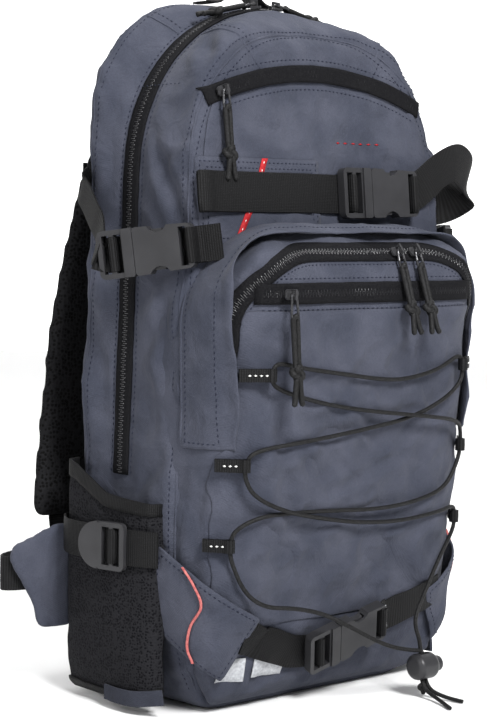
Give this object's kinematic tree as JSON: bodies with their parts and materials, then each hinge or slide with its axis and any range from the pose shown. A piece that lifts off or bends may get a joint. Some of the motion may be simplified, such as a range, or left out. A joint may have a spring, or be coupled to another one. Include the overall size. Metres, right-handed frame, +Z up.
{
  "type": "ski backpack",
  "caption": "Upright ski backpack: panel with an arched zip, outer pocket laced with elastic cord, lash straps with side-release buckles, mesh side pockets, padded straps.",
  "frame": {"origin": "on the flat base, under the middle of the bag, level with the ground it stands on", "axes": "+Z up, -Y towards the front pockets, +Y towards the wearer, +X to the right seen from the front"},
  "size_m": [0.353, 0.2752, 0.5077],
  "materials": {
    "canvas": "plain-woven slate blue-grey cloth",
    "base_cloth": "darker coated cloth",
    "webbing": "black ribbed webbing",
    "zip_tape": "black zip tape and nylon coil",
    "zip_metal": "satin",
    "cord_black": "braided cord",
    "buckle_plastic": "satin moulded plastic",
    "mesh": "open air mesh over foam"
  },
  "bodies": {
    "pack": {"front_shell": "canvas", "rear_shell": "canvas", "base_panel": "base_cloth", "main_zip": "zip_tape", "top_pocket_panel": "canvas", "top_pocket_zip": "zip_tape", "lash_patch": "base_cloth", "upper_strap": "webbing", "upper_buckle_female": "buckle_plastic", "outer_pocket_band": "canvas", "outer_pocket_face": "canvas", "outer_pocket_zip": "zip_tape", "outer_pocket_flap": "canvas", "pouch_panel": "canvas", "pouch_zip": "zip_tape", "cord_loops": "webbing", "elastic_cord": "cord_black", "cord_lock_barrel": "buckle_plastic", "lash_wings": "canvas", "lower_strap": "webbing", "lower_buckle_female": "buckle_plastic", "side_straps": "webbing", "side_buckle_female_left": "buckle_plastic", "side_buckle_female_right": "buckle_plastic", "mesh_pocket_left": "mesh", "mesh_pocket_right": "mesh", "pocket_straps": "webbing", "back_pads": "mesh", "shoulder_strap_left": "mesh", "shoulder_strap_right": "mesh", "shoulder_webbing": "webbing", "chest_strap": "webbing", "chest_buckle_female": "buckle_plastic", "haul_loop": "webbing"},
    "main_slider_left": {"main_zip_slider_left": "zip_metal"},
    "main_slider_right": {"main_zip_slider_right": "zip_metal"},
    "main_pull_left": {"main_zip_pull_left": "cord_black"},
    "main_pull_right": {"main_zip_pull_right": "cord_black"},
    "top_slider": {"top_pocket_slider": "zip_metal"},
    "top_pull": {"top_pocket_pull": "cord_black"},
    "outer_slider_left": {"outer_zip_slider_left": "zip_metal"},
    "outer_slider_right": {"outer_zip_slider_right": "zip_metal"},
    "outer_pull_left": {"outer_zip_pull_left": "cord_black"},
    "outer_pull_right": {"outer_zip_pull_right": "cord_black"},
    "pouch_slider_body": {"pouch_slider": "zip_metal"},
    "pouch_pull_body": {"pouch_pull": "cord_black"},
    "upper_buckle_prong": {"upper_buckle_male": "buckle_plastic"},
    "lower_buckle_prong": {"lower_buckle_male": "buckle_plastic"},
    "side_buckle_prong_left": {"side_buckle_male_left": "buckle_plastic"},
    "side_buckle_prong_right": {"side_buckle_male_right": "buckle_plastic"},
    "chest_buckle_prong": {"chest_buckle_male": "buckle_plastic"},
    "lock_button": {"cord_lock_button": "buckle_plastic"},
    "ladder_left": {"ladder_lock_left": "buckle_plastic"},
    "ladder_right": {"ladder_lock_right": "buckle_plastic"},
    "fin_left": {"hip_fin_left": "canvas", "hip_webbing_left": "webbing", "hip_buckle_female": "buckle_plastic"},
    "fin_right": {"hip_fin_right": "canvas", "hip_webbing_right": "webbing", "hip_buckle_male": "buckle_plastic"}
  },
  "joints": [
    {"name": "main_slider_left_travel", "type": "hinge", "parent": "pack", "child": "main_slider_left", "pos_m": [-0.001, 0.012, 0.3722], "axis": [0, -1, 0], "range_deg": [0, 60]},
    {"name": "main_slider_right_travel", "type": "hinge", "parent": "pack", "child": "main_slider_right", "pos_m": [0.001, 0.012, 0.3722], "axis": [0, 1, 0], "range_deg": [0, 60]},
    {"name": "main_pull_left_lift", "type": "hinge", "parent": "main_slider_left", "child": "main_pull_left", "pos_m": [-0.01103, 0.012, 0.49802], "axis": [0, 1, 0], "range_deg": [0, 90]},
    {"name": "main_pull_right_lift", "type": "hinge", "parent": "main_slider_right", "child": "main_pull_right", "pos_m": [0.01103, 0.012, 0.49802], "axis": [0, -1, 0], "range_deg": [0, 90]},
    {"name": "top_slider_travel", "type": "hinge", "parent": "pack", "child": "top_slider", "pos_m": [0, -0.07037, 0.18041], "axis": [0, 0.9947, -0.1029], "range_deg": [0, 30]},
    {"name": "top_pull_lift", "type": "hinge", "parent": "top_slider", "child": "top_pull", "pos_m": [-0.09098, -0.05112, 0.42971], "axis": [-1, 0, 0], "range_deg": [0, 90]},
    {"name": "outer_slider_left_travel", "type": "slide", "parent": "pack", "child": "outer_slider_left", "axis": [-1, 0, 0], "range_m": [0, 0.076]},
    {"name": "outer_slider_right_travel", "type": "slide", "parent": "pack", "child": "outer_slider_right", "axis": [1, 0, 0], "range_m": [0, 0.008]},
    {"name": "outer_pull_left_lift", "type": "hinge", "parent": "outer_slider_left", "child": "outer_pull_left", "pos_m": [0.026, -0.10467, 0.3224], "axis": [-1, 0, 0], "range_deg": [0, 90]},
    {"name": "outer_pull_right_lift", "type": "hinge", "parent": "outer_slider_right", "child": "outer_pull_right", "pos_m": [0.044, -0.10467, 0.3224], "axis": [-1, 0, 0], "range_deg": [0, 90]},
    {"name": "pouch_slider_travel", "type": "slide", "parent": "pack", "child": "pouch_slider_body", "axis": [1, 0, 0], "range_m": [0, 0.092]},
    {"name": "pouch_pull_lift", "type": "hinge", "parent": "pouch_slider_body", "child": "pouch_pull_body", "pos_m": [-0.084, -0.1151, 0.293], "axis": [-1, 0, 0], "range_deg": [0, 90]},
    {"name": "upper_buckle_release", "type": "slide", "parent": "pack", "child": "upper_buckle_prong", "axis": [-1, 0, 0], "range_m": [0, 0.022]},
    {"name": "lower_buckle_release", "type": "slide", "parent": "pack", "child": "lower_buckle_prong", "axis": [-0.9552, 0.0961, -0.2801], "range_m": [0, 0.022]},
    {"name": "side_buckle_release_left", "type": "slide", "parent": "pack", "child": "side_buckle_prong_left", "axis": [-0.474, 0.8701, -0.135], "range_m": [0, 0.022]},
    {"name": "side_buckle_release_right", "type": "slide", "parent": "pack", "child": "side_buckle_prong_right", "axis": [0.474, 0.8701, -0.135], "range_m": [0, 0.022]},
    {"name": "chest_buckle_release", "type": "slide", "parent": "pack", "child": "chest_buckle_prong", "axis": [1, 0, 0], "range_m": [0, 0.022]},
    {"name": "lock_button_press", "type": "slide", "parent": "pack", "child": "lock_button", "axis": [-1, 0, 0], "range_m": [0, 0.0035], "stiffness_N_per_m": 900, "springref_m": -0.002},
    {"name": "ladder_lift_left", "type": "hinge", "parent": "pack", "child": "ladder_left", "pos_m": [-0.15026, -0.01905, 0.117], "axis": [0, 0, 1], "range_deg": [0, 25]},
    {"name": "ladder_lift_right", "type": "hinge", "parent": "pack", "child": "ladder_right", "pos_m": [0.15026, -0.01905, 0.117], "axis": [0, 0, -1], "range_deg": [0, 25]},
    {"name": "hip_fin_left_swing", "type": "hinge", "parent": "pack", "child": "fin_left", "pos_m": [-0.1296, 0.069, 0.086], "axis": [0, 0, -1], "range_deg": [0, 10]},
    {"name": "hip_fin_right_swing", "type": "hinge", "parent": "pack", "child": "fin_right", "pos_m": [0.1296, 0.069, 0.086], "axis": [0, 0, 1], "range_deg": [0, 10]}
  ]
}
